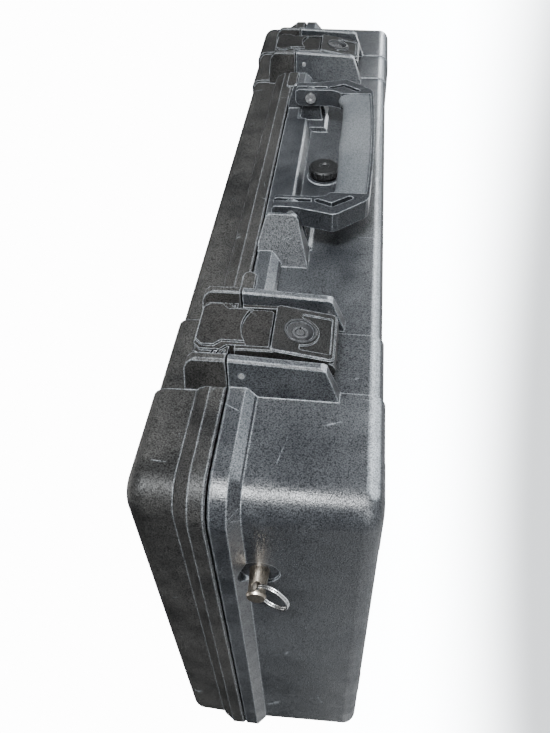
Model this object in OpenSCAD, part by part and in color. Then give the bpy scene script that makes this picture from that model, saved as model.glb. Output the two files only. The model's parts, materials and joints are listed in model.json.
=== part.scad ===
// Hard-shell rod case: a moulded base and lid, joined by two pinned hinges at the back,
// closed by two keyed press latches, carried by a folding handle.
// Frame: X along the case, -Y the handle side, +Z up; the origin is on the floor, under the middle.

/* [Shells] */
// Length of the shells at their end sections
case_l = 800; // [780:10:840]
// Depth of the shells from handle side to hinge side, at their end sections
case_d = 433; // [425:1:450]
// Height of the base from its outer face to the seam
base_h = 115; // [112:1:125]
// Height of the lid from the seam to its outer face
lid_h = 59; // [57:1:68]
// Wall thickness of both shells
wall = 4; // [3.5:0.5:4.5]
// Radius of the upright corners
corner_r = 23; // [22:1:26]
// Rounding round the outer face of each shell
edge_r = 13; // [11:1:14]
// How much each section of the base steps out towards the ends
step = 1.5; // [1:0.25:1.75]
// How much each section of the lid steps out towards the ends
lid_step = 3; // [1.5:0.25:3]
// How far the rim stands out from the end walls
rim_out = 8; // [7:0.5:9]
// Height of the feet
foot_h = 2; // [1.5:0.5:3]

/* [Fittings] */
// Distance of each latch from the middle
latch_x = 262; // [252:5:277]
// Distance of each hinge from the middle
hinge_x = 265; // [200:5:290]
// Half the outer width of the handle
handle_half = 131; // [126:1:134]
// Thickness of the handle
handle_t = 18; // [16:1:20]
// Radius of the split ring's wire
wire_r = 0.8; // [0.6:0.1:0.9]

/* [Foam] */
// Width of a rod slot
rod_w = 30; // [24:1:34]
// Length of a rod slot
rod_l = 730; // [680:10:740]
// Radius of a reel pocket
reel_r = 50; // [40:1:55]

/* [Hidden] */
$fn = 64;

seam = foot_h + base_h;
seam_gap = 0.8;                        // each rim stops this far from the seam plane
mid_y = case_d / 2 - 2 * step;         // outer wall of the middle section
base_bands = [233, 297];               // where the base's two steps out are
lid_bands = [224, 303];                // and the lid's
run = 0.05;                            // radial clearance of a turning fit

// ---- outlines -----------------------------------------------------------------------

// Half section of a shell: x from the corner's centre, y from the outer face to the seam.
// off moves the outer surface in or out.
module tub_half(h, off) {
    r = corner_r + off;
    e = edge_r + off;
    draft = 2;
    polygon([[0, -off], [r - draft - e, -off], [r - draft, e - off], [r, h], [0, h]]);
    translate([r - draft - e, e - off]) intersection() {
        circle(e);
        translate([0, -e]) square(e);
    }
}

module shell_half(h, off) {
    difference() {
        tub_half(h, off);
        intersection() {
            tub_half(h + 1, off - wall);
            translate([0, wall - off]) square([corner_r * 2, h * 2]);
        }
    }
}

// A straight stretch of shell from x0 to x1: both long walls and the floor between them.
module shell_run(h, x0, x1, off) {
    cy = case_d / 2 - corner_r;
    for (s = [0, 1]) mirror([0, s, 0]) translate([x0, cy, 0])
        rotate([90, 0, 90]) linear_extrude(x1 - x0) shell_half(h, off);
    translate([x0, -cy, -off]) cube([x1 - x0, 2 * cy, wall]);
}

// The end of a shell at +X: two corners and the end wall.
module shell_end(h) {
    cx = case_l / 2 - corner_r;
    cy = case_d / 2 - corner_r;
    for (s = [0, 1]) mirror([0, s, 0]) translate([cx, cy, 0])
        rotate_extrude(angle = 90) shell_half(h, 0);
    translate([cx, cy, 0]) rotate([90, 0, 0]) linear_extrude(2 * cy) shell_half(h, 0);
}

// A shell standing on its outer face at z = 0, open upwards, with its seam edge at z = h.
module shell_body(h, st, bands) {
    cx = case_l / 2 - corner_r;
    shell_run(h, -bands[0], bands[0], -2 * st);
    for (s = [0, 1]) mirror([s, 0, 0]) {
        shell_run(h, bands[0], bands[1], -st);
        shell_run(h, bands[1], cx, 0);
        shell_end(h);
    }
}

// Sweeps a profile all round the case; the profile's x is measured from the corner's centre.
module around() {
    for (k = [0:3]) {
        a = k % 2 == 0 ? [case_l, case_d] / 2 : [case_d, case_l] / 2;
        rotate(90 * k) translate([a[0] - corner_r, a[1] - corner_r, 0]) {
            rotate_extrude(angle = 90) children();
            rotate([90, 0, 0]) linear_extrude(2 * (a[1] - corner_r)) children();
        }
    }
}

// Rim of a shell: y is the distance from the seam into that shell, flat is its straight width.
rim_in = corner_r - 14;
seal_x = rim_in + 4;
rim_z = rim_out + 2 * step;            // the rim's nose, out from the middle section's wall
module rim_profile(flat, slope) {
    o = corner_r + rim_out;
    c = 1.2;
    polygon([[rim_in, seam_gap], [o - c, seam_gap], [o, seam_gap + c], [o, flat - 1.5],
             [o - 1.5, flat], [corner_r + 1.5, flat + slope], [corner_r - 1, flat + slope + 2],
             [rim_in, flat + slope - 4]]);
}

// The stretch of rim left out at each latch, with rounded rim ends on both sides of it.
module rim_breaks() {
    r = 6;
    w = guard_foot - 4;
    for (s = [-1, 1]) at_latch(s) rail(-40, 40) difference() {
        translate([-w - r, 1]) square([2 * w + 2 * r, 30]);
        for (x = [-w - r, w + r]) translate([x, rim_z + 0.4 - r]) {
            circle(r);
            translate([-r, -20]) square([2 * r, 20]);
        }
    }
}

// Locating tabs of the lid, each between a latch and the handle; grow widens the base's notch.
module rim_tabs(grow = 0) {
    r = 5.5 + grow;
    for (s = [0, 1]) mirror([s, 0, 0]) front() translate([0, 0, 4 - grow])
        linear_extrude(rim_z - 2.4 + grow) {
            translate([tab_x, 1]) circle(r);
            translate([tab_x, 1 - r]) square([latch_x - guard_foot - 1 - tab_x, 2 * r]);
        }
}

// ---- frames for the fittings --------------------------------------------------------

// Front frame: x along the case, y up from the seam, z out from the middle section's wall.
module front() translate([0, -mid_y, seam]) rotate([90, 0, 0]) children();

// One fitting for each side: the child is drawn for a latch centred on x = 0.
module at_latch(side) front() translate([side * latch_x, 0, 0]) children();

// A bar along x: half-section in (y, z), between x0 and x1.
module bar(x0, x1) translate([x0, 0, 0]) rotate([90, 0, 90]) linear_extrude(x1 - x0) children();

// A bar along y: section in (x, z), between y0 and y1.
module rail(y0, y1) translate([0, y1, 0]) rotate([90, 0, 0]) linear_extrude(y1 - y0) children();

module rod_x(x0, x1, r) translate([x0, 0, 0]) rotate([0, 90, 0]) cylinder(r = r, h = x1 - x0);

module rounded_rect(w, h, r) {
    square([w - 2 * r, h], center = true);
    square([w, h - 2 * r], center = true);
    for (x = [-1, 1], y = [-1, 1]) translate([x * (w / 2 - r), y * (h / 2 - r)]) circle(r);
}

// ---- latch --------------------------------------------------------------------------

slot_half = 33;        // half the gap between the guards
guard_out = 40.5;      // outer face of a guard, at its top
guard_foot = 46;       // outer face of a base guard, at the wall
guard_z = 34;          // top of the guards
tab_x = latch_x - 80;  // rounded end of each locating tab, from the middle
guard_drop = 4;        // how much lower the guards are at their far ends
latch_z = 31.5;        // top of the latch
lock_tilt = 10.4;      // the lock block slopes down to the wall by this angle
body_half = 25;        // half width of the latch body
body_y1 = -29.6;       // lock block, its edge by the trigger
body_y0 = -76.5;       // lock block, its far end
body_z0 = 13;          // underside of the latch body
pin_y = -69;           // latch pivot
pin_z = 13;
pin_r = 2.5;
trig_y = -10.5;        // trigger pivot
trig_z = 20.5;
trig_r = 1.5;
tongue_half = 20;      // half width of the trigger's tongue
tongue_y = -27.5;      // free end of the tongue
plate_y = 29.5;        // hooked end of the trigger
lock_y = -49.5;        // lock centre
lock_r = 10;           // radius of the lock's barrel
plug_hole_r = 2.2;     // radius of the holes in the guards, on the trigger's axis
lid_root = -4;         // how deep the lid's guards reach into its wall

// The two guard ribs of a latch on the base: sloped outside, ramped at the far end.
module base_guards() {
    for (s = [0, 1]) mirror([s, 0, 0]) difference() {
        intersection() {
            translate([0, 0, guard_z]) rotate([atan2(guard_drop, 66), 0, 0]) translate([0, 0, -guard_z])
                rail(-90, 5) polygon([[slot_half, -12], [slot_half, guard_z - 1],
                    [slot_half + 1, guard_z], [guard_out - 1.5, guard_z], [guard_out, guard_z - 1.5],
                    [guard_foot, 0], [guard_foot, -12]]);
            bar(0, 60) polygon([[-seam_gap, -step], [-seam_gap, guard_z + 1],
                [-66, guard_z - guard_drop + 1], [-67, guard_z - guard_drop - 0.2],
                [-71, guard_z - guard_drop - 2.5], [-81, 1], [-81, -step]]);
        }
        translate([0, pin_y, pin_z]) rod_x(0, guard_out, pin_r + 0.01);
        translate([0, trig_y, trig_z]) rod_x(0, 60, plug_hole_r + 0.01);
    }
}

// Steel plugs that close the holes through which the trigger pin goes in.
module guard_plug() color("silver") for (s = [0, 1]) mirror([s, 0, 0])
    translate([0, trig_y, trig_z]) rod_x(slot_half + 1, guard_out + 2.5, plug_hole_r);

// The matching guards on the lid, with upright outer faces, and the low strike between them.
module lid_guards() {
    for (s = [0, 1]) mirror([s, 0, 0]) intersection() {
        rail(seam_gap, 40) polygon([[slot_half, lid_root], [slot_half, guard_z - 1],
            [slot_half + 1, guard_z], [guard_out - 1.5, guard_z], [guard_out, guard_z - 1.5],
            [guard_out + 1, 0], [guard_out + 1, lid_root]]);
        bar(0, 60) polygon([[0, lid_root], [0, guard_z], [22, guard_z], [26, guard_z - 1.5],
            [29.5, guard_z - 5], [31.5, guard_z - 10], [34, lid_root]]);
    }
    bar(-slot_half, slot_half) polygon([[seam_gap, lid_root], [seam_gap, 14.5], [23, 14.5],
        [25, 15.5], [26, 15.5], [30, lid_root]]);
}

// Tips the lock block and what it carries down towards the wall, about its edge by the trigger.
module tipped() translate([0, body_y1, latch_z]) rotate([lock_tilt, 0, 0])
    translate([0, -body_y1, -latch_z]) children();

module latch_body() color("#26282b") difference() {
    union() {
        tipped() translate([0, (body_y0 + body_y1) / 2, body_z0]) linear_extrude(latch_z - body_z0)
            rounded_rect(2 * body_half, body_y1 - body_y0, 4);
        for (s = [0, 1]) mirror([s, 0, 0])
            rail(body_y1 - 6, -3) polygon([[tongue_half + 0.6, body_z0 + 1],
                [tongue_half + 0.6, latch_z - 1.5], [body_half - 1.2, latch_z - 1.5],
                [body_half - 0.2, latch_z - 2.5], [body_half - 0.2, body_z0 + 1]]);
        translate([0, pin_y, pin_z]) rod_x(-body_half, body_half, 8);
    }
    // room for the tongue between the side rails
    translate([-tongue_half - 0.6, body_y1, body_z0 - 12]) cube([2 * tongue_half + 1.2, 40, 40]);
    tipped() {
        // sunk panel round the lock
        difference() {
            translate([0, -61.5, latch_z - 1.4]) linear_extrude(2) rounded_rect(38, 23, 1.5);
            translate([0, lock_y, latch_z - 3]) cylinder(r = 14.2, h = 6);
        }
        translate([0, lock_y, 0]) cylinder(r = lock_r + 0.01, h = 40);
        // rebate all round the outer edge
        translate([0, (body_y0 + body_y1) / 2, latch_z - 0.8]) linear_extrude(2) difference() {
            rounded_rect(2 * body_half + 4, body_y1 - body_y0 + 4, 4);
            translate([0, 0.6]) rounded_rect(2 * body_half - 3, body_y1 - body_y0 - 1.2, 3);
        }
    }
    translate([0, pin_y, pin_z]) rod_x(-30, 30, pin_r + run);
    translate([0, trig_y, trig_z]) rod_x(-30, 30, trig_r + 0.01);
}

module latch_pin() color("silver") translate([0, pin_y, pin_z])
    rod_x(0.1 - guard_out, guard_out - 0.1, pin_r);

// Press trigger: a stepped plate over the lid's strike, and a tongue with a thumb scoop.
module latch_trigger() color("#2d2f32") difference() {
    union() {
        intersection() {
            bar(-27.5, 27.5) polygon([[1.5, 16], [1.5, latch_z - 4], [plate_y - 3, latch_z - 4],
                [plate_y, latch_z - 8], [plate_y, 16.5], [plate_y - 0.5, 16]]);
            translate([0, plate_y - 25]) linear_extrude(60) rounded_rect(55, 50, 7);
        }
        translate([0, 0, 17]) linear_extrude(latch_z - 2 - 17) polygon([
            [-25, plate_y - 7], [-20, plate_y - 2], [20, plate_y - 2], [25, plate_y - 7], [25, 8],
            [tongue_half, 3], [tongue_half, tongue_y + 2], [tongue_half - 2, tongue_y],
            [-tongue_half + 2, tongue_y], [-tongue_half, tongue_y + 2], [-tongue_half, 3], [-25, 8]]);
        translate([0, 0, 18]) linear_extrude(latch_z - 18) polygon([
            [-22, plate_y - 8], [-17, plate_y - 3], [17, plate_y - 3], [22, plate_y - 8],
            [22, 12.5], [17, 7.5], [17, tongue_y + 2], [-17, tongue_y + 2], [-17, 7.5], [-22, 12.5]]);
    }
    // thumb scoop, bounded by an arc
    translate([0, -39, latch_z - 3.2]) cylinder(r = 34, h = 10);
    // pocket for the return spring, and the pivot bore
    translate([0, trig_y, trig_z]) rod_x(-9, 9, 4.6);
    translate([-9, trig_y - 4.6, 10]) cube([18, 9.2, trig_z - 10]);
    translate([0, trig_y, trig_z]) rod_x(-30, 30, trig_r + run);
    // three grip nicks on the edge of each shoulder
    for (s = [-1, 1], k = [0:2]) translate([s * 26, 5 + 4 * k, latch_z - 4.8])
        rotate([0, 0, s * 20]) cube([5, 1.6, 3], center = true);
}

module trigger_pin() color("silver") translate([0, trig_y, trig_z])
    rod_x(-body_half + 0.2, body_half - 0.2, trig_r);

// A helical coil along x, centred on the origin.
module coil(r, w, pitch, turns, sides = 6, per = 18) {
    n = turns * per;
    pts = [for (i = [0:n], j = [0:sides - 1])
        let (a = 360 * i / per, b = 360 * j / sides, q = r + w * cos(b))
        [pitch * (i / per - turns / 2) + w * sin(b), q * cos(a), q * sin(a)]];
    skin = [for (i = [0:n - 1], j = [0:sides - 1])
        let (k = (j + 1) % sides)
        [i * sides + j, (i + 1) * sides + j, (i + 1) * sides + k, i * sides + k]];
    polyhedron(pts, concat(skin, [[for (j = [0:sides - 1]) j]],
        [[for (j = [sides - 1:-1:0]) n * sides + j]]));
}

module trigger_spring() color("silver") translate([0, trig_y, trig_z]) coil(2.9, 0.6, 1.7, 8);

// ---- lock ---------------------------------------------------------------------------

plug_r = 5.6;

module lock_bezel() color("#1b1c1e") tipped() translate([0, lock_y, 0]) rotate_extrude() polygon([
    [plug_r + run, 8], [lock_r, 8], [lock_r, latch_z], [12.6, latch_z], [12.6, latch_z + 0.6],
    [12, latch_z + 1.2], [11, latch_z + 1.2], [10.2, latch_z - 0.2], [plug_r + 1, latch_z - 1.6],
    [plug_r + run, latch_z - 1.6]]);

module lock_plug() color("#3a3b3d") tipped() translate([0, lock_y, 0]) difference() {
    union() {
        translate([0, 0, 8]) cylinder(r = plug_r, h = latch_z - 9.4);
        translate([0, 0, 5.5]) cylinder(r = 2.5, h = 3);
    }
    // round keyway with a notch
    translate([0, 0, latch_z - 5]) difference() {
        cylinder(r = 4.3, h = 6);
        cylinder(r = 3.1, h = 6);
    }
    translate([3, -0.8, latch_z - 5]) cube([2.6, 1.6, 6]);
}

module lock_nut() color("silver") tipped() translate([0, lock_y, 9]) difference() {
    cylinder(r = 13, h = 4, $fn = 6);
    translate([0, 0, -1]) cylinder(r = lock_r, h = 6);
}

module lock_cam() color("silver") tipped() translate([0, lock_y, 5.5]) difference() {
    linear_extrude(2) {
        circle(5);
        translate([0, -4]) square([17, 8]);
    }
    translate([0, 0, -1]) cylinder(r = 2.5, h = 4);
}

// ---- handle -------------------------------------------------------------------------

piv_y = -28;                    // handle pivot
piv_z = 33;
piv_r = 4;
fork_in = handle_half - 27;     // inner face of the fork
fork_out = handle_half - 9.5;   // outer face of the fork
ear_x0 = fork_in + 4.8;         // the ear stands in the fork
ear_x1 = fork_in + 8.2;
seat_x = handle_half - 6.5;     // inner face of the block outside the fork
arm_z0 = piv_z - handle_t / 2;
bow_y = -98.5;                  // outermost point of the grip
grip_x = handle_half - 34;      // end of the grip
grip_y = -64;                   // inner side of the grip

// Outer line of the handle, moved in by t; half of it, from the fork to the middle.
function band_line(t) = [[fork_out - t, piv_y - 2], [handle_half - t, -65 + t * 0.2],
    [handle_half - 2 - t * 0.9, -69.5 + t * 0.5], [handle_half - 23 - t * 0.6, -93 + t * 0.75],
    [handle_half - 27.5 - t * 0.4, -95.3 + t * 0.9],
    for (k = [0:8]) let (u = 1 - k / 8) [(handle_half - 31) * u, bow_y + t + 2.7 * u * u]];

function both(half) = concat(half, [for (k = [len(half) - 1:-1:0]) [-half[k][0], half[k][1]]]);

module handle_plan(t) polygon(both(band_line(t)));

// The opening for the fingers, with round corners.
module finger_opening() {
    r = 16;
    translate([-fork_in, grip_y + r]) square([2 * fork_in, 100]);
    translate([r - fork_in, grip_y]) square([2 * (fork_in - r), r + 1]);
    for (s = [-1, 1]) translate([s * (fork_in - r), grip_y + r]) circle(r);
}

// A slot with round ends and bends that follows a line of points; its sides are a hair narrower.
module slot_line(pts, w) for (k = [0:len(pts) - 2]) {
    d = pts[k + 1] - pts[k];
    side = w - 0.1;
    translate(pts[k]) rotate(atan2(d[1], d[0])) translate([0, -side / 2]) square([norm(d), side]);
    for (q = [pts[k], pts[k + 1]]) translate(q) circle(w / 2);
}

// Side view of an arm's end: y along the arm, z up; both corners are round.
module arm_end() {
    y1 = piv_y + 17;
    z1 = arm_z0 + handle_t;
    polygon([[piv_y - 6, arm_z0], [y1 - 7, arm_z0], [y1, arm_z0 + 7],
        [y1, z1 - 4], [y1 - 4, z1], [piv_y - 6, z1]]);
    translate([y1 - 7, arm_z0 + 7]) circle(7);
    translate([y1 - 4, z1 - 4]) circle(4);
}

module handle_frame() color("#2a2c2f") difference() {
    union() {
        translate([0, 0, arm_z0]) linear_extrude(handle_t) difference() {
            handle_plan(0);
            finger_opening();
            intersection() {
                handle_plan(3);
                translate([-grip_x, -120]) square([2 * grip_x, 100]);
            }
        }
        for (s = [0, 1]) mirror([s, 0, 0]) bar(fork_in, fork_out) arm_end();
    }
    for (s = [0, 1]) mirror([s, 0, 0]) {
        // fork slot for the ear, then the bent slot round the elbow
        translate([ear_x0 - 0.7, piv_y - 17, 0]) cube([ear_x1 - ear_x0 + 1.4, 60, 90]);
        linear_extrude(90)
            slot_line([[fork_in + 6.5, -51], [fork_in + 12.5, -63.5], [fork_in + 0.7, -78.6]], 5.6);
        translate([0, piv_y, piv_z]) rod_x(0, 200, piv_r + run);
    }
}

module handle_grip() color("#5d6062") intersection() {
    translate([0, 0, arm_z0]) linear_extrude(handle_t) intersection() {
        handle_plan(3.02);
        translate([0.02 - grip_x, -120]) square([2 * grip_x - 0.04, 100]);
    }
    // section of the grip: flat outside, round towards the fingers
    bar(-grip_x, grip_x) {
        r = handle_t / 2 - 0.5;
        translate([-120, piv_z - r]) square([120 + grip_y - r, 2 * r]);
        translate([grip_y - r, piv_z]) circle(r);
    }
}

module handle_pin() color("silver") translate([0, piv_y, piv_z]) {
    rod_x(fork_in - 0.1, seat_x + 3, piv_r);
    difference() {
        rod_x(fork_in - 2.6, fork_in - 0.1, 5.6);
        translate([fork_in - 3, 0, 0]) rotate([0, 90, 0]) cylinder(r = 2.2, h = 1.8, $fn = 6);
    }
}

// Ears, ramped blocks and pad for the handle, moulded on the base.
module handle_seats() {
    for (s = [0, 1]) mirror([s, 0, 0]) {
        difference() {
            union() {
                translate([0, piv_y, piv_z]) rod_x(ear_x0, ear_x1, 8.5);
                bar(ear_x0, ear_x1) polygon([[piv_y + 8, piv_z], [piv_y + 14, -2],
                    [piv_y - 14, -2], [piv_y - 8, piv_z]]);
            }
            translate([0, piv_y, piv_z]) rod_x(0, 200, piv_r + 0.01);
        }
        // ramped block outside the arm
        difference() {
            intersection() {
                rail(-60, -seam_gap) polygon([[seat_x, -2], [seat_x, piv_z + 4], [seat_x + 1, piv_z + 5],
                    [seat_x + 3.5, piv_z + 5], [seat_x + 27, 0], [seat_x + 27, -2]]);
                bar(100, 200) {
                    polygon([[0, -2], [0, 14], [-7, piv_z + 3], [-9, piv_z + 5], [-28.5, piv_z + 5],
                        [-36.5, piv_z - 3], [-45, 1], [-45, -2]]);
                    translate([-28.5, piv_z - 3]) circle(8);
                }
            }
            translate([0, piv_y, piv_z]) rod_x(0, seat_x + 3.1, piv_r + 0.01);
        }
        // low foot round the ear
        bar(fork_in - 12, seat_x + 1) polygon([[-20, -2], [-20, 5], [-44, 5], [-47, 2], [-47, -2]]);
    }
    // pad between the ears, level with the rim
    bar(4 - fork_in, fork_in - 4) polygon([[-seam_gap, -2], [-seam_gap, rim_z], [-23, rim_z],
        [-25, rim_z - 2], [-29, 1.5], [-29, -2]]);
}

// ---- hinge --------------------------------------------------------------------------

hinge_y = case_d / 2 + rim_out + 5;
knuckle_r = 6.5;
knuckle_w = 14;
hinge_pin_r = 2;

// Knuckles k = 0..4 of one hinge; up is 1 for the lid and -1 for the base.
module knuckles(list, up) for (k = list) translate([(k - 2.5) * knuckle_w + 0.2, hinge_y, seam]) {
    rod_x(0, knuckle_w - 0.4, knuckle_r);
    bar(0, knuckle_w - 0.4) polygon([[-7, 0], [-7, up * 17], [-5, up * 16],
        [knuckle_r * 0.7, up * knuckle_r * 0.7], [0, 0]]);
}

module knuckle_relief(list) for (k = list) translate([(k - 2.5) * knuckle_w - 0.2, hinge_y, seam])
    rod_x(0, knuckle_w + 0.4, knuckle_r + 0.6);

module hinge_bore(gap) translate([0, hinge_y, seam]) rod_x(-40, 40, hinge_pin_r + gap);

module hinge_pin() color("silver") translate([0, hinge_y, seam]) rod_x(-36, 36, hinge_pin_r);

// ---- post and ring at the left end --------------------------------------------------

post_y = -128;
post_z = seam - 30.5;
hole_out = 12.5;               // cross hole, out from the end wall
hole_r = 3.4;
ring_r = 12.5;
lean = 22;                     // the ring leans this far back towards the wall
pad_in = 9;                    // inner face of the pad behind the post, in from the end wall
washer_t = 1.5;

// Post frame: x out from the left end wall, y as the case, z down.
module post_frame() translate([-case_l / 2, post_y, post_z]) rotate([0, 180, 0]) children();

module ring_post() color("#8a7f70") post_frame() difference() {
    rotate([0, 90, 0]) rotate_extrude() polygon([[0, -16], [3.4, -16], [4, -15], [4, -3], [7.5, -3],
        [7.2, 1], [6.2, 15.5], [7.2, 16.1], [7.2, 17.6], [6.4, 19.3], [0, 19.3]]);
    translate([hole_out, -20, 0]) rotate([-90, 0, 0]) cylinder(r = hole_r, h = 40);
}

module post_washer() color("silver") post_frame() translate([-pad_in - washer_t, 0, 0])
    rotate([0, 90, 0]) difference() {
        cylinder(r = 9, h = washer_t);
        translate([0, 0, -1]) cylinder(r = 4, h = 4);
    }

module post_nut() color("silver") post_frame() translate([-pad_in - washer_t - 4, 0, 0])
    rotate([0, 90, 0]) difference() {
        cylinder(r = 7.5, h = 4, $fn = 6);
        translate([0, 0, -1]) cylinder(r = 4, h = 6);
    }

// Two coils of wire lying side by side, joined where the ring splits.
module split_ring() color("silver") post_frame() translate([hole_out, 0, 0]) rotate([0, lean, 0])
    translate([0, 0, ring_r]) rotate([0, 90, 0]) {
        for (s = [-1, 1]) translate([0, 0, s * (wire_r + 0.05)]) rotate_extrude()
            translate([ring_r, 0]) circle(wire_r, $fn = 24);
        translate([ring_r, 0, -wire_r]) cylinder(r = wire_r * 0.8, h = 2 * wire_r);
    }

// ---- vent valve ---------------------------------------------------------------------

valve_y = -50;
valve_r = 7;

module at_valve() front() translate([0, valve_y, 0]) children();

module valve_body() color("#202224") at_valve() difference() {
    union() {
        cylinder(r = 13, h = 3);
        translate([0, 0, -wall - 8]) cylinder(r = valve_r, h = wall + 9);
        translate([0, 0, 2]) cylinder(r = 5, h = 6);
    }
    translate([0, 0, -20]) cylinder(r = 2.5, h = 40);
    rotate_extrude() translate([10, 0]) circle(1.2);
}

module valve_cap() color("#232527") at_valve() difference() {
    rotate_extrude() polygon([[0, 8.2], [5 + run, 8.2], [5 + run, 5.2], [12, 5.2], [13.2, 3.2],
        [14.6, 3.2], [15.6, 4.4], [15.6, 9.5], [14.4, 11], [12, 11.6], [5, 11.6], [4, 10.4], [0, 10.4]]);
    for (k = [0:11]) rotate(30 * k) translate([15.9, 0, 2]) cylinder(r = 1.1, h = 12);
}

module valve_seal() color("#151515") at_valve() difference() {
    rotate_extrude() translate([10, 0]) circle(1.2);
    translate([-20, -20, -5]) cube([40, 40, 5]);
}

module valve_nut() color("#202224") at_valve() translate([0, 0, -wall - 7.6]) difference() {
    cylinder(r = 12, h = 6, $fn = 6);
    translate([0, 0, -1]) cylinder(r = valve_r, h = 8);
}

// ---- foam ---------------------------------------------------------------------------

foam_gap = 0.6;
foam_x = case_l / 2 - corner_r + rim_in - foam_gap;
foam_y = case_d / 2 - corner_r + rim_in - foam_gap;
base_foam_z0 = foot_h + wall + 2 * step + 0.4;
base_foam_z1 = seam - 4;
lid_foam_z0 = seam + 22;
lid_foam_z1 = seam + lid_h - wall - 2 * lid_step - 0.4;
rod_ys = [-170, -125, 125, 170];
rod_depth = 42;
reel_x = 245;
reel_depth = 68;
tray = [250, 110, 50];         // middle recess: length, width, depth
pocket = [50, 110, 40];        // recess at each end
pocket_x = 345;

module foam_plan() rounded_rect(2 * foam_x, 2 * foam_y, 14);

// Plan of the 10 mm next to a shell's outer face, clear of its round edge.
module foam_foot() rounded_rect(2 * foam_x - 20, 2 * foam_y - 20, 20);

module base_foam() color("#3c3d40") difference() {
    union() {
        // lower layer stays clear of the round outer edge, upper layer fills the tub
        translate([0, 0, base_foam_z0]) linear_extrude(10) foam_foot();
        translate([0, 0, base_foam_z0 + 10]) linear_extrude(base_foam_z1 - base_foam_z0 - 10) foam_plan();
    }
    for (y = rod_ys) translate([-rod_l / 2, y - rod_w / 2, base_foam_z1 - rod_depth])
        cube([rod_l, rod_w, 60]);
    for (x = [-1, 1]) translate([x * reel_x, 0, base_foam_z1 - reel_depth]) cylinder(r = reel_r, h = 90);
    translate([0, 0, base_foam_z1 - tray[2]]) linear_extrude(60) rounded_rect(tray[0], tray[1], 14);
    for (x = [-1, 1]) translate([x * pocket_x, 0, base_foam_z1 - pocket[2]])
        linear_extrude(60) rounded_rect(pocket[0], pocket[1], 14);
    // room for the vent nut and the post nut
    translate([-16, -foam_y - 1, seam + valve_y - 16]) cube([32, 12, 32]);
    translate([-foam_x - 1, post_y - 20, post_z - 20]) cube([16, 40, 40]);
}

module lid_foam() color("#3c3d40") {
    translate([0, 0, lid_foam_z0]) linear_extrude(lid_foam_z1 - 10 - lid_foam_z0) foam_plan();
    translate([0, 0, lid_foam_z1 - 10]) linear_extrude(10) foam_foot();
}

// ---- shells -------------------------------------------------------------------------

foot_xs = [-350, 350];
foot_ys = [-150, 150];

module base_shell() color("#303336") difference() {
    union() {
        translate([0, 0, foot_h]) shell_body(base_h - seam_gap, step, base_bands);
        difference() {
            translate([0, 0, seam]) mirror([0, 0, 1]) around() rim_profile(15, 5);
            rim_breaks();
            rim_tabs(0.6);
        }
        // feet: four on the end sections, one under the middle
        for (x = foot_xs, y = foot_ys) translate([x, y, 0])
            linear_extrude(foot_h + 1) rounded_rect(44, 60, 8);
        linear_extrude(foot_h + 2 * step + 1) rounded_rect(90, 60, 8);
        for (s = [-1, 1]) at_latch(s) base_guards();
        front() handle_seats();
        for (s = [-1, 1]) translate([s * hinge_x, 0, 0]) knuckles([0, 2, 4], -1);
        // thick pad inside the end wall, behind the post
        post_frame() translate([-pad_in, 0, 0]) rotate([0, 90, 0]) cylinder(r = 19, h = 8);
        // flat seat for the vent valve
        at_valve() translate([0, 0, -3]) cylinder(r = 17, h = 3);
    }
    // groove for the seal
    translate([0, 0, seam]) mirror([0, 0, 1]) around() translate([seal_x - 2.2, -1]) square([4.4, 8.5]);
    for (s = [-1, 1]) translate([s * hinge_x, 0, 0]) {
        knuckle_relief([1, 3]);
        hinge_bore(0.01);
    }
    // vent valve hole, post hole and the recess round the post
    at_valve() translate([0, 0, -20]) cylinder(r = valve_r + 0.01, h = 40);
    post_frame() rotate([0, 90, 0]) {
        translate([0, 0, -20]) cylinder(r = 4.01, h = 40);
        translate([0, 0, -3]) cylinder(r = 15, h = 20);
    }
}

module lid_shell() color("#303336") difference() {
    union() {
        translate([0, 0, seam + lid_h]) mirror([0, 0, 1]) shell_body(lid_h - seam_gap, lid_step, lid_bands);
        difference() {
            translate([0, 0, seam]) around() rim_profile(14, 8);
            rim_breaks();
        }
        rim_tabs();
        // tongue that presses on the seal
        translate([0, 0, seam]) around() translate([seal_x - 0.8, -2.5]) square([1.6, 5]);
        for (s = [-1, 1]) at_latch(s) lid_guards();
        for (s = [-1, 1]) translate([s * hinge_x, 0, 0]) knuckles([1, 3], 1);
    }
    for (s = [-1, 1]) translate([s * hinge_x, 0, 0]) {
        knuckle_relief([0, 2, 4]);
        hinge_bore(run);
    }
    // stacking pockets for the feet of another case
    for (x = foot_xs, y = foot_ys) translate([x, y, seam + lid_h - foot_h])
        linear_extrude(9) rounded_rect(48, 64, 9);
}

module rim_seal() color("#151515") translate([0, 0, seam]) around()
    polygon([[seal_x - 2.1, -7.4], [seal_x + 2.1, -7.4], [seal_x + 2.1, -4.5],
        [seal_x + 1.2, -2.6], [seal_x - 1.2, -2.6], [seal_x - 2.1, -4.5]]);

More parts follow.
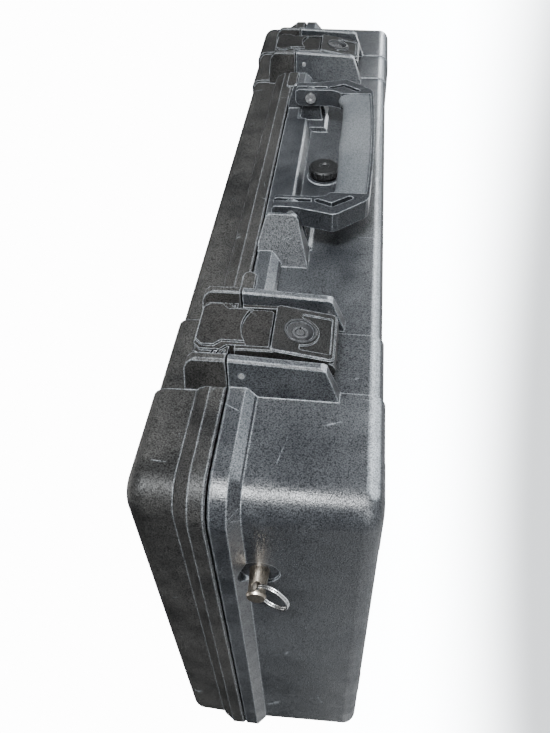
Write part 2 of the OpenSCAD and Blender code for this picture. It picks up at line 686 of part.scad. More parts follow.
base_shell();
lid_shell();
rim_seal();
base_foam();
lid_foam();
translate([-hinge_x, 0, 0]) hinge_pin();  // hinge_pin_left
translate([hinge_x, 0, 0]) hinge_pin();  // hinge_pin_right
at_latch(-1) latch_body();  // latch_body_left
at_latch(1) latch_body();  // latch_body_right
at_latch(-1) latch_trigger();  // latch_trigger_left
at_latch(1) latch_trigger();  // latch_trigger_right
at_latch(-1) latch_pin();  // latch_pin_left
at_latch(1) latch_pin();  // latch_pin_right
at_latch(-1) trigger_pin();  // trigger_pin_left
at_latch(1) trigger_pin();  // trigger_pin_right
for (s = [-1, 1]) at_latch(s) guard_plug();  // guard_plugs
at_latch(-1) trigger_spring();  // trigger_spring_left
at_latch(1) trigger_spring();  // trigger_spring_right
at_latch(-1) lock_bezel();  // lock_bezel_left
at_latch(1) lock_bezel();  // lock_bezel_right
at_latch(-1) lock_plug();  // lock_plug_left
at_latch(1) lock_plug();  // lock_plug_right
at_latch(-1) lock_nut();  // lock_nut_left
at_latch(1) lock_nut();  // lock_nut_right
at_latch(-1) lock_cam();  // lock_cam_left
at_latch(1) lock_cam();  // lock_cam_right
front() handle_frame();
front() handle_grip();
front() mirror([1, 0, 0]) handle_pin();  // handle_pin_left
front() handle_pin();  // handle_pin_right
valve_body();
valve_cap();
valve_seal();
valve_nut();
ring_post();
post_washer();
post_nut();
split_ring();
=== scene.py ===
"""Looks for the rod case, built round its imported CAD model.

Each CAD material gets a procedural one. Both foams, the seal cord and the hand grip are modelled again here
as soft shapes and ride their CAD bodies. Sizes are in metres, in the CAD's frame: X runs along the case,
-Y is the handle side, +Z is up through the lid.
"""
import json
import math

import bpy
from mathutils import Matrix, Vector

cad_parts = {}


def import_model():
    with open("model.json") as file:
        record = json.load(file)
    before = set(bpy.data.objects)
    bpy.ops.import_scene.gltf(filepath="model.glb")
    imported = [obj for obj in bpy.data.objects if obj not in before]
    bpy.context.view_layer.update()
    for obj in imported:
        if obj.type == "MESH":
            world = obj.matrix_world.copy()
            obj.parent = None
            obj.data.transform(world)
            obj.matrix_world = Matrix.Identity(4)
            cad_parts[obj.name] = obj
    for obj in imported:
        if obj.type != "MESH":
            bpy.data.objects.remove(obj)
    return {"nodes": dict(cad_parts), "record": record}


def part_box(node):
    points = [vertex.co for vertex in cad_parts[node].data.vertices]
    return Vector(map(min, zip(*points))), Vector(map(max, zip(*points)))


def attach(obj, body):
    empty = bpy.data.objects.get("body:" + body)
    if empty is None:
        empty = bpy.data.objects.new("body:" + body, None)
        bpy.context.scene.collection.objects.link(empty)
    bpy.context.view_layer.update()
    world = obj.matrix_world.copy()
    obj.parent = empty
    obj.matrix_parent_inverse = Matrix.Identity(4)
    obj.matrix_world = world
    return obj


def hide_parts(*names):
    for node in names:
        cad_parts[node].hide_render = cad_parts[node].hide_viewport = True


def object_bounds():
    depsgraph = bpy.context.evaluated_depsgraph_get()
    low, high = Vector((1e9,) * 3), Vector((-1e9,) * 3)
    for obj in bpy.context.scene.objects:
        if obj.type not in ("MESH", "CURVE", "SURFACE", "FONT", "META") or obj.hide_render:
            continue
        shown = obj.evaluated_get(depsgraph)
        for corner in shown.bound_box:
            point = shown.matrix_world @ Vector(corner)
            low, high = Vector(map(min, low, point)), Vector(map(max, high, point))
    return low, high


MM = 0.001

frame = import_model()
cad_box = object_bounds()
nodes = frame["nodes"]


# ---- node graph helpers ---------------------------------------------------------------

BEVEL_RAYS = 4
OFF_EDGE, ON_EDGE = 0.995, 0.86     # cosine between a face's own normal and its rounded one


class Graph:
    """A material's node tree, with short calls for the nodes used here."""

    def __init__(self, name):
        self.material = bpy.data.materials.new(name)
        self.material.use_nodes = True
        self.tree = self.material.node_tree
        self.tree.nodes.clear()
        out = self.tree.nodes.new("ShaderNodeOutputMaterial")
        self.bsdf = self.tree.nodes.new("ShaderNodeBsdfPrincipled")
        self.link(self.bsdf.outputs[0], out.inputs["Surface"])
        coords = self.tree.nodes.new("ShaderNodeTexCoord").outputs
        self.point = coords["Object"]
        self.facing = coords["Normal"]

    def link(self, a, b):
        self.tree.links.new(a, b)

    def put(self, socket, value):
        """Links or sets a socket; None leaves it as it is."""
        if isinstance(value, bpy.types.NodeSocket):
            self.link(value, socket)
        elif value is not None:
            socket.default_value = value

    def math(self, operation, a, b=None, clamp=False):
        node = self.tree.nodes.new("ShaderNodeMath")
        node.operation = operation
        node.use_clamp = clamp
        self.put(node.inputs[0], a)
        self.put(node.inputs[1], b)
        return node.outputs[0]

    def times(self, a, b):
        return self.math("MULTIPLY", a, b)

    def place(self, size, offset, stretch, turn):
        """The object's coordinates, scaled so that one unit is size metres, stretched and turned."""
        node = self.tree.nodes.new("ShaderNodeMapping")
        self.link(self.point, node.inputs["Vector"])
        node.inputs["Scale"].default_value = [k / size for k in stretch]
        node.inputs["Location"].default_value = offset
        node.inputs["Rotation"].default_value = turn
        return node.outputs[0]

    def noise(self, size, detail=4, rough=0.55, offset=(0, 0, 0), stretch=(1, 1, 1), turn=(0, 0, 0),
              distort=0):
        """Cloudy noise, 0 to 1, whose blobs are about size metres across."""
        node = self.tree.nodes.new("ShaderNodeTexNoise")
        self.link(self.place(size, offset, stretch, turn), node.inputs["Vector"])
        node.inputs["Scale"].default_value = 1
        node.inputs["Detail"].default_value = detail
        node.inputs["Roughness"].default_value = rough
        node.inputs["Distortion"].default_value = distort
        return node.outputs["Fac"]

    def cells(self, size, feature="F1", offset=(0, 0, 0), stretch=(1, 1, 1), turn=(0, 0, 0)):
        """Distance in a pattern of cells about size metres across: from a cell's middle, or from its edge."""
        node = self.tree.nodes.new("ShaderNodeTexVoronoi")
        node.feature = feature
        self.link(self.place(size, offset, stretch, turn), node.inputs["Vector"])
        node.inputs["Scale"].default_value = 1
        return node.outputs["Distance"]

    def ramp(self, value, low, high, out_low=0.0, out_high=1.0):
        """A smooth step: out_low where value is at low, out_high where it is at high."""
        node = self.tree.nodes.new("ShaderNodeMapRange")
        node.interpolation_type = "SMOOTHSTEP"
        self.put(node.inputs["Value"], value)
        ends = {"From Min": low, "From Max": high, "To Min": out_low, "To Max": out_high}
        for name, number in ends.items():
            self.put(node.inputs[name], number)
        return node.outputs[0]

    def mix(self, factor, a, b):
        """The colour a where factor is 0, b where it is 1."""
        node = self.tree.nodes.new("ShaderNodeMix")
        node.data_type = "RGBA"
        self.put(node.inputs["Factor"], factor)
        for socket, value in ((node.inputs[6], a), (node.inputs[7], b)):
            if not isinstance(value, bpy.types.NodeSocket):
                value = (*value, 1)
            self.put(socket, value)
        return node.outputs[2]

    def split(self, vector):
        node = self.tree.nodes.new("ShaderNodeSeparateXYZ")
        self.link(vector, node.inputs[0])
        return node.outputs

    def shade(self, color, factor):
        """color times factor, in each channel."""
        node = self.tree.nodes.new("ShaderNodeVectorMath")
        node.operation = "SCALE"
        self.put(node.inputs[0], color)
        self.put(node.inputs["Scale"], factor)
        return node.outputs[0]

    def dot(self, a, b):
        node = self.tree.nodes.new("ShaderNodeVectorMath")
        node.operation = "DOT_PRODUCT"
        self.put(node.inputs[0], a)
        self.put(node.inputs[1], b)
        return node.outputs["Value"]

    def rounded(self, radius):
        """The normal, as if edges were rounded to radius."""
        node = self.tree.nodes.new("ShaderNodeBevel")
        node.samples = BEVEL_RAYS
        node.inputs["Radius"].default_value = radius
        return node.outputs[0]

    def edges(self, radius):
        """1 on sharp edges, falling to 0 at radius away from them."""
        own = self.tree.nodes.new("ShaderNodeNewGeometry").outputs["Normal"]
        return self.ramp(self.dot(self.rounded(radius), own), OFF_EDGE, ON_EDGE)

    def bump(self, height, depth, normal=None):
        node = self.tree.nodes.new("ShaderNodeBump")
        node.inputs["Distance"].default_value = depth
        node.inputs["Strength"].default_value = 1
        self.put(node.inputs["Height"], height)
        self.put(node.inputs["Normal"], normal)
        return node.outputs[0]

    def finish(self, color, roughness, normal=None, metallic=0.0, specular=0.5):
        """Fills in the surface and returns the material."""
        color = color if isinstance(color, bpy.types.NodeSocket) else (*color, 1)
        self.put(self.bsdf.inputs["Base Color"], color)
        self.put(self.bsdf.inputs["Roughness"], roughness)
        self.put(self.bsdf.inputs["Metallic"], metallic)
        self.put(self.bsdf.inputs["Specular IOR Level"], specular)
        self.put(self.bsdf.inputs["Normal"], normal)
        return self.material


# ---- materials ------------------------------------------------------------------------

PALE_WEAR_AND_HIGHLIGHT = (0.30, 0.32, 0.34)           # plastic rubbed pale in scratches and on edges, where it is also painted edge highlight; also the painted highlight band's colour
GRIME = (0.05, 0.045, 0.04)         # on metal
HIGHLIGHT_SIDE = (0, -0.90, -0.43)   # faces turned this way, along the lower edge on the handle side, get a painted highlight band


def dusty(g, blotch, dust_amount, streaks):
    """Where pale dust lies: soft clouds of it, and streaks along X in the blotches."""
    cloud = g.noise(0.15, 6, 0.6)
    smear = g.noise(0.012, 5, 0.65, (5, 2, 1), (0.12, 1, 0.45), (0.1, 0.35, 0.1), 0.6)
    lying = g.math("ADD", g.times(cloud, 0.6), g.times(blotch, 0.4))
    lying = g.times(g.ramp(lying, 0.36, 0.66), dust_amount)
    rubbed = g.times(g.ramp(smear, 0.48, 0.75), g.ramp(blotch, 0.4, 0.65, 0, streaks))
    return g.math("MAXIMUM", lying, rubbed)


def cuts(g, size, width, offset, stretch, turn, patch_offset, patch_from, strength):
    """One family of fine scratches: the edges of long cells, kept to the patches of a cloudy noise."""
    lines = g.ramp(g.cells(size, "DISTANCE_TO_EDGE", offset, stretch, turn), width, 0.0)
    patches = g.ramp(g.noise(0.03, 3, 0.6, patch_offset), patch_from, patch_from + 0.12, 0, strength)
    return g.times(lines, patches)


def scratches(g, strength):
    """Long and short scratches, each family with its own direction and its own patches."""
    long = cuts(g, 0.05, 0.006, (1, 8, 3), (1, 0.16, 0.3), (0.5, 0.9, 0.3), (2, 6, 9), 0.58, strength)
    short = cuts(g, 0.036, 0.005, (6, 2, 5), (0.2, 1, 0.5), (1.2, 0.2, 0.8), (11, 3, 4), 0.6, strength)
    return g.math("MAXIMUM", long, short)


def worn_and_highlit_edges(g, width, wear_and_highlight):
    """Pale edges, partly wear and partly painted edge highlight: full strength where an edge is rubbed most,
    about a third of it where it is rubbed least.
    """
    uneven = g.ramp(g.noise(0.006, 4, 0.7, (9, 4, 2)), 0.3, 0.6, 0.35 * wear_and_highlight, wear_and_highlight)
    return g.times(g.edges(width), uneven)


def painted_highlight_band(g, blotch, strength):
    """A painted highlight: faces turned to the lower edge on the handle side are painted pale, a little less
    so in places.
    """
    band = g.times(g.ramp(g.dot(g.facing, HIGHLIGHT_SIDE), 0.91, 0.985), strength)
    return g.times(band, g.ramp(blotch, 0.3, 0.6, 0.7, 1))


def moulded_plastic(name, base, dust, dust_amount, grain=0.9 * MM, depth=0.13 * MM, rough=0.33, wear_and_highlight=0.8,
                    round_edge=1.2 * MM, streaks=0.5, scratched=0.45, gloss=0.75, painted_highlight=0.0):
    """Moulded plastic or rubber, with a fine grain, dust, rubbed streaks, scratches, pale edges that are
    partly wear and partly painted edge highlight, and where asked a painted highlight band.

    base and dust are colours, grain and depth the width and height of the grain, rough the roughness of
    clean plastic, gloss its specular level, and round_edge the radius that sharp edges seem to have. The
    others, from 0 to 1, say how strongly each kind of mark shows.
    """
    g = Graph(name)
    relief = g.math("ADD", g.cells(grain, "SMOOTH_F1"), g.noise(grain * 1.2, 3, 0.7))
    blotch = g.noise(0.03, 5, 0.65, (3, 1, 7))
    dusted = dusty(g, blotch, dust_amount, streaks)
    # scratches are pale wear; the pale on edges is partly wear and partly painted edge highlight
    marked = g.math("MAXIMUM", worn_and_highlit_edges(g, round_edge * 1.5, wear_and_highlight), scratches(g, scratched))
    color = g.mix(marked, g.mix(dusted, base, dust), PALE_WEAR_AND_HIGHLIGHT)
    if painted_highlight:
        # a painted highlight band along the lower edge on the handle side
        color = g.mix(painted_highlight_band(g, blotch, painted_highlight), color, PALE_WEAR_AND_HIGHLIGHT)
    color = g.shade(color, g.ramp(relief, 0.55, 1.25, 1.5, 0.5))
    clean = g.ramp(blotch, 0.3, 0.7, rough - 0.05, rough + 0.07)
    roughness = g.math("ADD", g.times(dusted, 0.25), clean, clamp=True)
    glint = g.ramp(relief, 0.6, 1.3, gloss, 0.25 * gloss)
    return g.finish(color, roughness, g.bump(relief, depth, g.rounded(round_edge)), specular=glint)


def metal(name, color, rough):
    """Turned metal with fine brush lines and grime in blotches."""
    g = Graph(name)
    grime = g.ramp(g.noise(0.004, 5, 0.65), 0.45, 0.75, 0, 0.7)
    hair = g.noise(0.4 * MM, 3, 0.7, (4, 4, 4), (0.1, 1, 1))
    clean = g.ramp(hair, 0.3, 0.7, rough - 0.08, rough + 0.1)
    roughness = g.math("ADD", clean, g.times(grime, 0.25))
    normal = g.bump(hair, 0.01 * MM, g.rounded(0.3 * MM))
    return g.finish(g.mix(grime, color, GRIME), roughness, normal, 1.0)


def foam(name, dark, pale):
    """Open-celled foam: small pits at two sizes, matt, with a faint mottle."""
    g = Graph(name)
    pits = g.cells(1.3 * MM)
    small = g.cells(0.6 * MM, offset=(3, 5, 1))
    relief = g.math("ADD", g.ramp(pits, 0.0, 0.7), g.times(small, 0.4))
    tone = g.mix(g.ramp(g.noise(0.05), 0.3, 0.7), dark, pale)
    # darker towards each pit's middle: painted shade in the pits
    color = g.shade(tone, g.ramp(pits, 0.0, 0.6, 0.55, 1.1))
    return g.finish(color, 0.95, g.bump(relief, 0.5 * MM), specular=0.15)


PLASTICS = {
    # the base shell carries a painted highlight band along its lower edge on the handle side
    "shell_base": dict(base=(0.010, 0.011, 0.013), dust=(0.055, 0.058, 0.062), dust_amount=0.4, painted_highlight=0.7),
    "shell_lid": dict(base=(0.007, 0.007, 0.007), dust=(0.05, 0.048, 0.045), dust_amount=0.5,
                      rough=0.46, gloss=0.3),
    "handle_plastic": dict(base=(0.012, 0.013, 0.015), dust=(0.06, 0.062, 0.065), dust_amount=0.3,
                           grain=0.7 * MM, depth=0.03 * MM, rough=0.36, wear_and_highlight=1.0, round_edge=0.9 * MM,
                           gloss=0.32),
    "valve_plastic": dict(base=(0.004, 0.004, 0.004), dust=(0.02, 0.02, 0.02), dust_amount=0.3,
                          grain=0.5 * MM, depth=0.03 * MM, rough=0.4, wear_and_highlight=0.25, round_edge=0.4 * MM,
                          gloss=0.4),
    "latch_plastic": dict(base=(0.005, 0.005, 0.005), dust=(0.03, 0.028, 0.026), dust_amount=0.35,
                          grain=0.7 * MM, depth=0.04 * MM, rough=0.42, wear_and_highlight=1.0, round_edge=0.6 * MM,
                          gloss=0.35),
    "trigger_plastic": dict(base=(0.005, 0.005, 0.005), dust=(0.03, 0.028, 0.026), dust_amount=0.45,
                            depth=0.08 * MM, rough=0.46, wear_and_highlight=1.0, round_edge=0.6 * MM, gloss=0.25),
    # the grip is the handle's dark plastic; its lighter colour is painted light, for the light its round
    # finger side catches
    "grip_rubber": dict(base=(0.055, 0.06, 0.065), dust=(0.12, 0.125, 0.13), dust_amount=0.5,
                        grain=0.7 * MM, depth=0.03 * MM, rough=0.5, wear_and_highlight=0.5, gloss=0.6),
    "seal_rubber": dict(base=(0.008, 0.008, 0.008), dust=(0.03, 0.03, 0.03), dust_amount=0.3,
                        grain=0.5 * MM, depth=0.02 * MM, rough=0.6, gloss=0.4),
    "bezel_black": dict(base=(0.008, 0.008, 0.009), dust=(0.04, 0.04, 0.04), dust_amount=0.3,
                        grain=0.5 * MM, depth=0.004 * MM, rough=0.16, wear_and_highlight=0.3, round_edge=0.4 * MM,
                        streaks=0.2, scratched=0.2),
    "plug_black": dict(base=(0.02, 0.02, 0.021), dust=(0.08, 0.08, 0.08), dust_amount=0.4,
                       grain=0.5 * MM, depth=0.01 * MM, rough=0.3, wear_and_highlight=0.6, round_edge=0.3 * MM),
}
METALS = {
    "post_steel": dict(color=(0.34, 0.30, 0.25), rough=0.3),
    "ring_steel": dict(color=(0.62, 0.62, 0.62), rough=0.22),
    "pin_steel": dict(color=(0.6, 0.6, 0.6), rough=0.3),
}

MATERIALS = {name: moulded_plastic(name, **look) for name, look in PLASTICS.items()}
MATERIALS.update({name: metal(name, **look) for name, look in METALS.items()})
MATERIALS["foam"] = foam("foam", (0.02, 0.02, 0.022), (0.034, 0.034, 0.037))

for part in frame["record"]["subparts"]:
    slots = nodes[part["node"]].data.materials
    for i in range(len(slots)):
        slots[i] = MATERIALS[part["material_slot"]]


# ---- soft pieces ----------------------------------------------------------------------

def new_piece(name, verts, faces, body, slot_name, node):
    """A smooth mesh piece on a CAD body, shown in place of one CAD node."""
    mesh = bpy.data.meshes.new(name)
    mesh.from_pydata(verts, [], faces)
    mesh.validate()
    mesh.materials.append(MATERIALS[slot_name])
    mesh.polygons.foreach_set("use_smooth", [True] * len(mesh.polygons))
    piece = bpy.data.objects.new(name, mesh)
    bpy.context.scene.collection.objects.link(piece)
    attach(piece, body)
    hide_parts(node)
    return piece


def smooth(t):
    """A smooth step from 0 to 1 as t goes from 0 to 1."""
    t = min(max(t, 0), 1)
    return t * t * (3 - 2 * t)


def grid_faces(nx, ny, flip):
    """Quads between nx by ny grid points, listed row after row."""
    faces = []
    for i in range(nx - 1):
        for j in range(ny - 1):
            quad = (i * ny + j, (i + 1) * ny + j, (i + 1) * ny + j + 1, i * ny + j + 1)
            faces.append(quad[::-1] if flip else quad)
    return faces


def slab(name, x_marks, y_marks, height, back_z, body, node):
    """A foam slab on a grid of x and y marks: height(x, y) gives its worked face, back_z its flat back."""
    nx, ny = len(x_marks), len(y_marks)
    verts = [(x, y, height(x, y)) for x in x_marks for y in y_marks]
    up = verts[0][2] > back_z
    faces = grid_faces(nx, ny, not up)
    rim = [*range(ny)] + [i * ny + ny - 1 for i in range(1, nx)]
    rim += [(nx - 1) * ny + j for j in range(ny - 2, -1, -1)] + [i * ny for i in range(nx - 2, 0, -1)]
    first = len(verts)
    verts += [(verts[k][0], verts[k][1], back_z) for k in rim]
    count = len(rim)
    for k in range(count):
        n = (k + 1) % count
        quad = (rim[k], rim[n], first + n, first + k)
        faces.append(quad if up else quad[::-1])
    back = tuple(range(first, first + count))
    faces.append(back if up else back[::-1])
    new_piece(name, verts, faces, body, "foam", node)


def marks(low_end, high_end, step, extra=()):
    """Evenly spaced numbers from low_end to high_end, with extra ones added where an edge needs them."""
    count = max(2, round((high_end - low_end) / step) + 1)
    even = [low_end + (high_end - low_end) * i / (count - 1) for i in range(count)]
    return sorted({round(v, 6) for v in [*even, *extra] if low_end <= v <= high_end})


def rim_gap(x, y, low, high):
    """Distance from the nearest side of the box between low and high."""
    return min(x - low.x, high.x - x, y - low.y, high.y - y)


# ---- foam -----------------------------------------------------------------------------

OPENINGS = {o["name"]: [Vector(c) for c in o["box_m"]] for o in frame["record"]["physics"]["openings"]}
ROD_MARGIN = Vector((5, 2)) * MM        # a slot is this much larger than the space it keeps free
ROD_CORNER = 2 * MM
TRAY_MARGIN = Vector((5, 5)) * MM
TRAY_CORNER = 14 * MM
REEL_RADIUS = 50 * MM
BELOW = 2 * MM                          # a cut goes this much deeper than its space
END_POCKET_X = 345 * MM                 # a plain pocket near each end
END_POCKET_HALF = Vector((25, 55)) * MM
END_POCKET_DEPTH = 40 * MM
WALL_OUT = 0.4 * MM                     # a cut's wall starts this far outside its outline
WALL_WIDTH = 1.2 * MM                   # and reaches the bottom after this much
LIP, LIP_DEPTH = 3 * MM, 1.4 * MM       # the foam sinks in towards a cut
RIM, RIM_DEPTH = 5 * MM, 3 * MM         # and towards its own edge
EDGE_BAND = 2 * MM                      # about this near to an edge, grid lines are closer together


def cut_list(top):
    """Each cut of the base foam: (centre, half size, corner radius, depth)."""
    found = []
    for name, (a, b) in OPENINGS.items():
        centre = ((a + b) / 2).to_2d()
        half = ((b - a) / 2).to_2d()
        depth = top - a.z + BELOW
        if name.startswith("reel"):
            found.append((centre, Vector((REEL_RADIUS, REEL_RADIUS)), REEL_RADIUS, depth))
        elif name.startswith("rod"):
            found.append((centre, half + ROD_MARGIN, ROD_CORNER, depth))
        else:
            found.append((centre, half + TRAY_MARGIN, TRAY_CORNER, depth))
    for side in (-1, 1):
        found.append((Vector((side * END_POCKET_X, 0)), END_POCKET_HALF, TRAY_CORNER, END_POCKET_DEPTH))
    return found


def around_edges(values):
    """Marks close to each edge, so that its lip is round."""
    return [v + k * EDGE_BAND for v in values for k in (-1.2, -0.6, -0.25, 0, 0.25, 0.6, 1.2)]


def outside(x, y, centre, half, radius):
    """Distance from a cut's outline, negative inside it."""
    dx = abs(x - centre.x) - half.x + radius
    dy = abs(y - centre.y) - half.y + radius
    return math.hypot(max(dx, 0), max(dy, 0)) + min(max(dx, dy), 0) - radius


def base_foam():
    """The base's foam, with soft-lipped cuts for rods, reels and tackle."""
    low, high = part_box("base_foam")
    found = cut_list(high.z)
    edges_x = [c.x + k * half.x for c, half, _, _ in found for k in (-1, 1)]
    edges_y = [c.y + k * half.y for c, half, _, _ in found for k in (-1, 1)]
    step = 2.6 * MM

    def height(x, y):
        z = high.z
        for centre, half, radius, depth in found:
            d = outside(x, y, centre, half, radius)
            if d < LIP:
                wall = depth * smooth((WALL_OUT - d) / WALL_WIDTH)
                z = min(z, high.z - wall - LIP_DEPTH * smooth(1 - d / LIP))
        return z - RIM_DEPTH * (1 - smooth(rim_gap(x, y, low, high) / RIM))

    slab("foam_base", marks(low.x, high.x, step, around_edges([*edges_x, low.x, high.x])),
         marks(low.y, high.y, step, around_edges([*edges_y, low.y, high.y])),
         height, low.z, "case_base", "base_foam")


def lid_foam():
    """The lid's egg-crate foam, whose worked face looks down."""
    low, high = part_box("lid_foam")
    pitch = 42 * MM
    deep = 14 * MM
    flat_rim = 14 * MM
    back_gap = 0.5 * MM
    step = 3.2 * MM

    def height(x, y):
        wave = 0.5 - 0.25 * (math.cos(math.tau * x / pitch) + math.cos(math.tau * y / pitch))
        return low.z + deep * max(wave, 1 - smooth(rim_gap(x, y, low, high) / flat_rim))

    slab("foam_lid", marks(low.x, high.x, step), marks(low.y, high.y, step),
         height, high.z - back_gap, "lid", "lid_foam")


# ---- seal, grip -----------------------------------------------------------------------

def seal():
    """The cord in the base's groove: a D section swept round the case."""
    low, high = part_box("rim_seal")
    half = 2.1 * MM                     # half the cord's width
    bend = 13 * MM                      # radius of its centre line at the corners
    sides_top = low.z + 2.4 * MM        # straight sides up to here, round above
    turn_steps = 8
    dome_steps = 9
    hx, hy = high.x - half - bend, high.y - half - bend
    path = []
    for cx, cy, start in ((1, 1, 0), (-1, 1, 90), (-1, -1, 180), (1, -1, 270)):
        for k in range(turn_steps + 1):
            a = math.radians(start + 90 * k / turn_steps)
            out = Vector((math.cos(a), math.sin(a)))
            path.append((Vector((cx * hx, cy * hy)) + out * bend, out))
    section = [(-half, low.z), (-half, sides_top)]
    for k in range(1, dome_steps):
        a = math.pi * k / dome_steps
        section.append((-half * math.cos(a), sides_top + (high.z - sides_top) * math.sin(a)))
    section += [(half, sides_top), (half, low.z)]
    verts = [(p.x + o.x * d, p.y + o.y * d, z) for p, o in path for d, z in section]
    n, m = len(path), len(section)
    faces = [(i * m + j, i * m + (j + 1) % m, (i + 1) % n * m + (j + 1) % m, (i + 1) % n * m + j)
             for i in range(n) for j in range(m)]
    new_piece("seal_cord", verts, faces, "case_base", "seal_rubber", "rim_seal")


def grip_section(thick, z_out, z_in, deep):
    """Half-width thick: a flat outer face at z_out with round edges, and a finger side rounded up to z_in."""
    lip = 2.2 * MM
    lip_steps = 3
    finger_steps = 14
    quarter = [math.pi / 2 * k / lip_steps for k in range(lip_steps + 1)]
    edge = [(thick - lip + lip * math.sin(a), z_out + lip - lip * math.cos(a)) for a in quarter]
    over = [math.pi * k / finger_steps for k in range(finger_steps + 1)]
    fingers = [(-thick * math.cos(a), z_in - deep + deep * math.sin(a)) for a in over]
    return [(-y, z) for y, z in edge] + fingers + edge[::-1]


def grip():
    """Hand grip: flat towards the case's outer side, round towards the fingers, swelling in the middle."""
    low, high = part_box("handle_grip")
    mid_y = (low.y + high.y) / 2
    half_y = (high.y - low.y) / 2
    bow = 2.7 * MM                      # the outer face rises by this towards the ends
    swell = 1.2 * MM                    # the finger side is this much lower half way to each end
    flare, flare_from = 5.0 * MM, 0.86  # and rises by this over the last part of the way
    taper, taper_from = 0.05, 0.9       # there the grip is thinner, too
    finger_depth = 1.35 * half_y
    stations = 72
    verts = []
    for i in range(stations + 1):
        x = -high.x + 2 * high.x * i / stations
        u = abs(x / high.x)
        z_out = low.z + bow * u * u
        z_in = high.z - swell * math.sin(math.pi * u) + flare * smooth((u - flare_from) / (1 - flare_from))
        thick = half_y * (1 - taper * smooth((u - taper_from) / (1 - taper_from)))
        section = grip_section(thick, z_out, z_in, finger_depth)
        verts += [(x, mid_y + y, z) for y, z in section]
    m = len(section)
    faces = [(i * m + j, (i + 1) * m + j, (i + 1) * m + (j + 1) % m, i * m + (j + 1) % m)
             for i in range(stations) for j in range(m)]
    faces.append(tuple(range(m)))
    faces.append(tuple(range(stations * m + m - 1, stations * m - 1, -1)))
    piece = new_piece("hand_grip", verts, faces, "handle", "grip_rubber", "handle_grip")
    sharp = piece.modifiers.new("flat ends", "EDGE_SPLIT")
    sharp.split_angle = math.radians(50)


base_foam()
lid_foam()
seal()
grip()


# ---- stage ----------------------------------------------------------------------------

FLOOR_HALF = 30         # half the floor's side
FLOOR_GLOW = 0.42       # light the floor gives everywhere
FLOOR_SHEEN = 32.0      # more of it beside the handle side, in reflections only: a glowing strip, no lamp, that lays a highlight on the case's lower edge
BASE_HALF_Y = 0.22      # the sheen keeps clear of the case, which reaches this far from the middle
BACKDROP = 14.0         # white of the sky and of the far floor, to the camera only
AMBIENT = 0.14          # light from all round


def beside_handle(g):
    """1 in a strip of floor along the handle side, for rays that run mostly along X."""
    x, y, _ = g.split(g.point)
    past = [g.math("MAXIMUM", g.math("SUBTRACT", g.math("ABSOLUTE", axis), half), 0)
            for axis, half in ((x, cad_box[1].x), (y, BASE_HALF_Y))]
    gap = g.math("SQRT", g.math("ADD", g.math("POWER", past[0], 2), g.math("POWER", past[1], 2)))
    strip = g.times(g.ramp(gap, 1 * MM, 8 * MM), g.ramp(gap, 24 * MM, 10 * MM))
    strip = g.times(strip, g.ramp(y, 20 * MM - BASE_HALF_Y, -BASE_HALF_Y))
    run, _, _ = g.split(g.tree.nodes.new("ShaderNodeNewGeometry").outputs["Incoming"])
    return g.times(strip, g.ramp(g.math("ABSOLUTE", run), 0.6, 0.85))


def floor():
    """A pale floor under the case that glows a little and fades to white far away."""
    g = Graph("floor")
    g.finish(g.mix(g.noise(0.4, 3), (0.80, 0.81, 0.83), (0.84, 0.85, 0.86)), 0.6)
    ray = g.tree.nodes.new("ShaderNodeLightPath").outputs
    slant = g.tree.nodes.new("ShaderNodeLayerWeight").outputs["Facing"]
    away = g.times(g.ramp(slant, 0.74, 0.9, 0, BACKDROP), ray["Is Camera Ray"])
    sheen = g.times(g.times(beside_handle(g), FLOOR_SHEEN), ray["Is Glossy Ray"])
    g.link(g.math("ADD", g.math("ADD", away, sheen), FLOOR_GLOW), g.bsdf.inputs["Emission Strength"])
    g.bsdf.inputs["Emission Color"].default_value = (0.93, 0.97, 1, 1)
    mesh = bpy.data.meshes.new("floor")
    corners = ((-1, -1), (1, -1), (1, 1), (-1, 1))
    verts = [(x * FLOOR_HALF, y * FLOOR_HALF, cad_box[0].z) for x, y in corners]
    mesh.from_pydata(verts, [], [(0, 1, 2, 3)])
    mesh.materials.append(g.material)
    plane = bpy.data.objects.new("floor", mesh)
    bpy.context.scene.collection.objects.link(plane)


def light(name, place, aim, size, power, color):
    """A rectangular area light at place, turned to aim."""
    data = bpy.data.lights.new(name, "AREA")
    data.shape = "RECTANGLE"
    data.size, data.size_y = size
    data.energy = power
    data.color = color
    lamp = bpy.data.objects.new(name, data)
    lamp.location = place
    lamp.rotation_mode = "QUATERNION"
    lamp.rotation_quaternion = (Vector(aim) - Vector(place)).to_track_quat("-Z", "Y")
    bpy.context.scene.collection.objects.link(lamp)


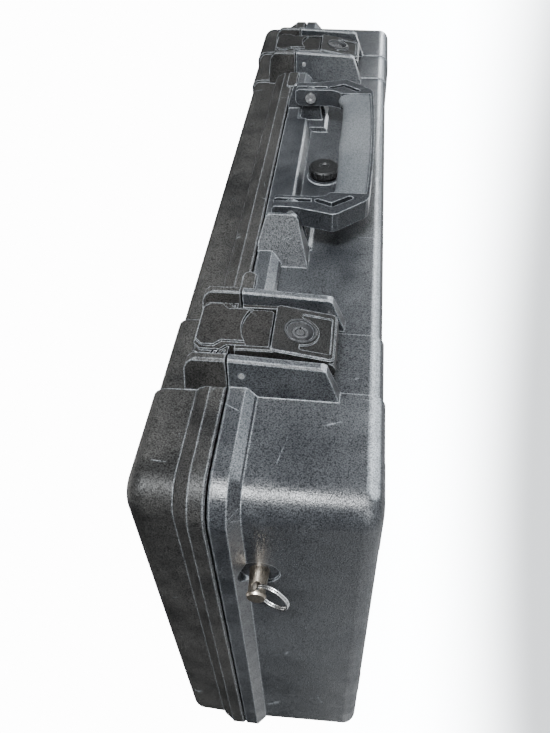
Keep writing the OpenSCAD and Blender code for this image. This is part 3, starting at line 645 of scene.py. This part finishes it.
def world():
    """White behind the object; a dimmer light from all round, strongest from the handle side."""
    sky = bpy.data.worlds.new("sky")
    bpy.context.scene.world = sky
    sky.use_nodes = True
    tree = sky.node_tree
    seen = tree.nodes["Background"]
    seen.inputs["Color"].default_value = (1, 1, 1, 1)
    seen.inputs["Strength"].default_value = BACKDROP
    lit = tree.nodes.new("ShaderNodeBackground")
    lit.inputs["Color"].default_value = (0.86, 0.93, 1.0, 1)
    toward = tree.nodes.new("ShaderNodeSeparateXYZ")
    tree.links.new(tree.nodes.new("ShaderNodeTexCoord").outputs["Generated"], toward.inputs[0])
    side = tree.nodes.new("ShaderNodeMapRange")
    tree.links.new(toward.outputs["Y"], side.inputs["Value"])
    ends = {"From Min": 0.3, "From Max": -0.8, "To Min": 0.2 * AMBIENT, "To Max": 1.6 * AMBIENT}
    for name, number in ends.items():
        side.inputs[name].default_value = number
    tree.links.new(side.outputs[0], lit.inputs["Strength"])
    ray = tree.nodes.new("ShaderNodeLightPath")
    choose = tree.nodes.new("ShaderNodeMixShader")
    tree.links.new(ray.outputs["Is Camera Ray"], choose.inputs[0])
    tree.links.new(lit.outputs[0], choose.inputs[1])
    tree.links.new(seen.outputs[0], choose.inputs[2])
    tree.links.new(choose.outputs[0], tree.nodes["World Output"].inputs["Surface"])


def camera(place, forward, up, lens):
    """The photograph's viewing angle, fitted to the case's proportions."""
    data = bpy.data.cameras.new("camera")
    cam = bpy.data.objects.new("camera", data)
    bpy.context.scene.collection.objects.link(cam)
    data.sensor_width = 36
    data.lens = lens
    data.clip_start = 20 * MM
    forward = Vector(forward).normalized()
    right = forward.cross(Vector(up)).normalized()
    pose = Matrix((right, right.cross(forward), -forward)).transposed().to_4x4()
    pose.translation = Vector(place)
    cam.matrix_world = pose
    bpy.context.scene.camera = cam


floor()
world()
light("overhead", (0.9, -2.4, 0.5), (0, -0.2, 0.1), (2.0, 1.2), 4, (0.93, 0.97, 1))
light("strip", (-1.3, -2.4, 0.25), (-0.4, -0.2, 0.08), (0.2, 1.3), 330, (0.95, 0.98, 1))
light("lid_fill", (-0.6, -0.9, 1.9), (0, 0, 0.1), (1.2, 1.2), 2, (1, 0.97, 0.93))
light("top", (0.2, 0.4, 2.4), (0, 0, 0.1), (1.8, 1.2), 30, (1, 0.99, 0.97))
light("back", (1.3, 2.2, 0.9), (0, 0.1, 0.1), (1.5, 1.0), 22, (0.97, 0.98, 1))
camera(place=(-0.6325, -0.5948, 0.0325), forward=(0.68200, 0.72411, 0.10266),
       up=(0.72246, -0.68886, 0.05934), lens=33.95)
